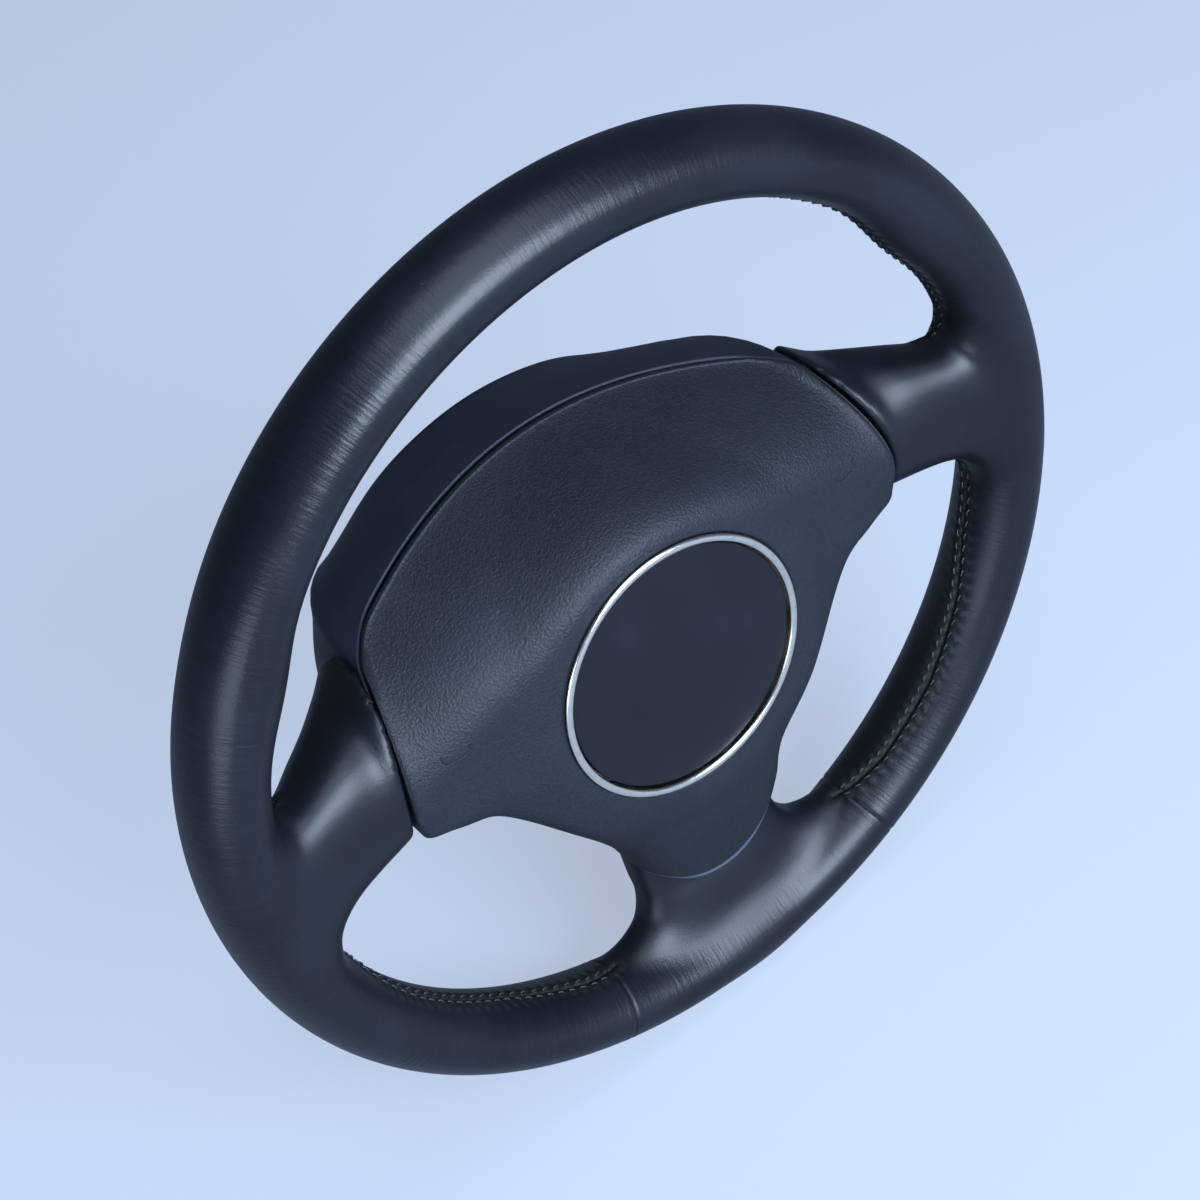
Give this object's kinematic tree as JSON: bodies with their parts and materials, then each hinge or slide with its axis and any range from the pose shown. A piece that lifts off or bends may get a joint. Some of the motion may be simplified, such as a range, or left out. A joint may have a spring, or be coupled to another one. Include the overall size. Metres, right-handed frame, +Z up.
{
  "type": "steering wheel",
  "caption": "Three-spoke leather-covered steering wheel with a grained airbag cover, a plain centre disc in a bright ring, and a sprung module that is pressed to sound the horn.",
  "frame": {"origin": "on the steering axis, in the middle of the plain lead-in of the column bore in the hub insert", "axes": "+X to the driver's right, +Y along the steering axis away from the driver and towards the column, +Z up to twelve o'clock with the wheel straight ahead"},
  "size_m": [0.3748, 0.1181, 0.3748],
  "materials": {
    "cast_frame": "as cast",
    "hub_steel": "turned",
    "foam": "moulded polyurethane foam",
    "leather": "smooth, worn to a satin shine",
    "rear_plastic": "fine matt grain",
    "cover_plastic": "pebble grain, satin",
    "disc_plastic": "smooth satin",
    "ring_chrome": "polished",
    "dark_steel": "phosphated",
    "bright_steel": "zinc plated",
    "contact_brass": "plain",
    "tray_steel": "zinc plated sheet",
    "rivet_aluminium": "plain",
    "plug_plastic": "moulded",
    "bush_plastic": "moulded",
    "cushion_fabric": "folded coated nylon"
  },
  "bodies": {
    "wheel": {"armature": "cast_frame", "hub_insert": "hub_steel", "rim_foam": "foam", "rim_leather_upper": "leather", "rim_leather_lower": "leather", "rear_cover": "rear_plastic", "rear_cover_screws": "dark_steel", "guide_bolts": "bright_steel", "horn_springs": "bright_steel", "horn_contact_plates": "contact_brass"},
    "airbag_module": {"airbag_cover": "cover_plastic", "centre_disc": "disc_plastic", "trim_ring": "ring_chrome", "disc_push_nuts": "dark_steel", "module_tray": "tray_steel", "cover_rivets": "rivet_aluminium", "inflator": "tray_steel", "inflator_plug": "plug_plastic", "cushion_clamp": "tray_steel", "clamp_nuts": "bright_steel", "airbag_cushion": "cushion_fabric", "guide_bushes": "bush_plastic", "horn_contact_pins": "contact_brass"}
  },
  "joints": [
    {"name": "horn_press", "type": "slide", "parent": "wheel", "child": "airbag_module", "axis": [0, 1, 0], "range_m": [0, 0.0012], "stiffness_N_per_m": 14000, "springref_m": -0.0016, "deforming": ["horn_springs"]}
  ]
}
